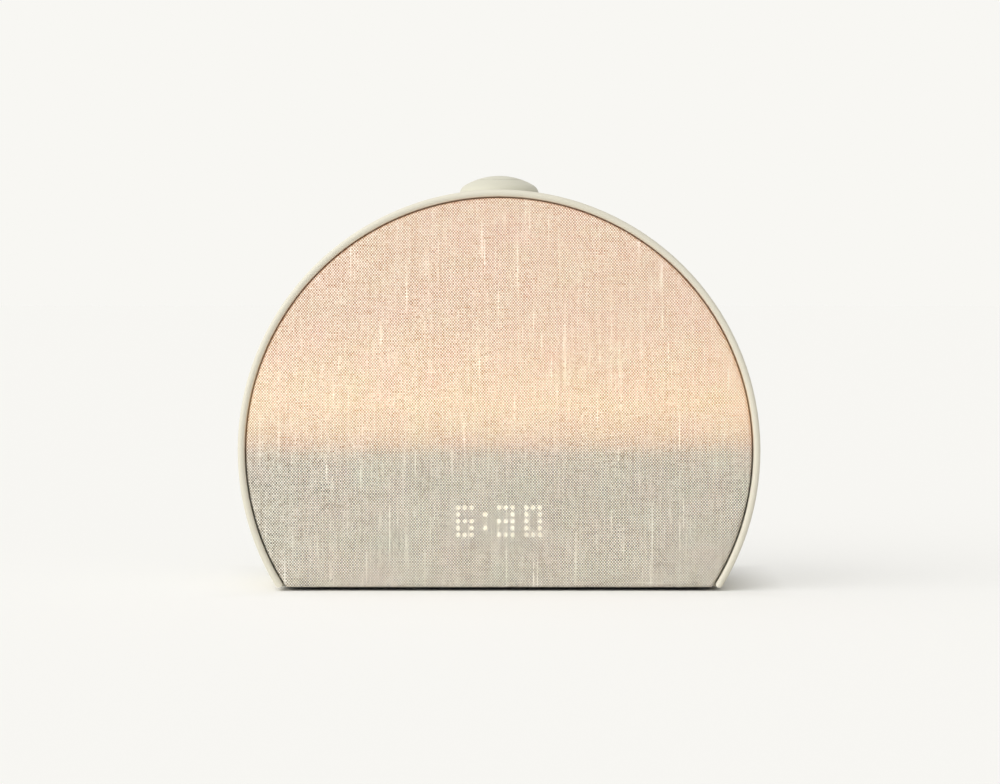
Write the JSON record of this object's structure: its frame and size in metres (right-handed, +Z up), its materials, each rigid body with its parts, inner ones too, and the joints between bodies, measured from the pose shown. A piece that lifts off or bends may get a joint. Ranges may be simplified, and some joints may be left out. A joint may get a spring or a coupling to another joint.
{
  "type": "sunrise alarm clock",
  "caption": "Round bedside alarm clock with a flat underside, fabric front with dot display and sunrise light, turning knob with a push button on top.",
  "frame": {"origin": "middle of the underside of the rubber foot, on the table, in the middle of the housing's width and depth", "axes": "+X to the right of someone who faces the fabric, +Y from the fabric to the back, +Z up"},
  "size_m": [0.21, 0.088, 0.1674],
  "materials": {
    "housing_plastic": "satin, light greige",
    "front_cloth": "plain linen-like weave",
    "milky_plastic": "translucent white",
    "white_plastic": "white reflector",
    "black_plastic": "black",
    "grey_plastic": "grey",
    "board": "green circuit board",
    "chip": "black package",
    "lamp_chip": "light chip with a yellow fill",
    "dot_chip": "white light chip",
    "steel": "zinc-plated steel",
    "magnet": "sintered magnet",
    "foam": "closed-cell foam",
    "rubber": "soft rubber",
    "paper": "pressed paper",
    "brass": "turned brass"
  },
  "bodies": {
    "clock": {"main_shell": "housing_plastic", "front_fabric": "front_cloth", "front_panel": "milky_plastic", "panel_gasket": "foam", "diffuser_sheet": "milky_plastic", "light_reflector": "white_plastic", "led_board": "board", "light_leds": "lamp_chip", "reflector_screws": "steel", "display_baffle": "black_plastic", "display_leds": "dot_chip", "display_board": "board", "display_screws": "steel", "chassis": "grey_plastic", "chassis_screws": "steel", "main_board": "board", "wifi_module": "steel", "board_chips": "chip", "main_board_screws": "steel", "power_board": "board", "power_socket": "black_plastic", "power_board_screws": "steel", "speaker_grille": "housing_plastic", "speaker_mesh": "black_plastic", "speaker_gasket": "foam", "speaker_frame": "steel", "speaker_surround": "rubber", "speaker_cone": "paper", "speaker_magnet": "magnet", "speaker_screws": "steel", "speaker_box": "black_plastic", "speaker_box_screws": "steel", "dial_bush": "brass", "tact_switch": "black_plastic", "top_board": "board", "hall_sensor": "chip", "top_board_screws": "steel", "slide_switch": "steel", "switch_board": "board", "switch_screws": "steel", "base_plate": "black_plastic", "base_screws": "steel", "foot_pad": "rubber"},
    "dial": {"dial_ring": "housing_plastic", "dial_clip": "steel", "encoder_magnet": "magnet"},
    "button": {"button_cap": "housing_plastic", "button_retainer": "grey_plastic"},
    "slider": {"alarm_slider": "black_plastic"}
  },
  "joints": [
    {"name": "dial_turn", "type": "hinge", "parent": "clock", "child": "dial", "pos_m": [0, -0.006, 0.16], "axis": [0, 0, 1], "continuous": true},
    {"name": "button_press", "type": "slide", "parent": "clock", "child": "button", "axis": [0, 0, -1], "range_m": [0, 0.0012], "stiffness_N_per_m": 400, "springref_m": -0.002},
    {"name": "alarm_slide", "type": "slide", "parent": "clock", "child": "slider", "axis": [1, 0, 0], "range_m": [0, 0.005]}
  ]
}
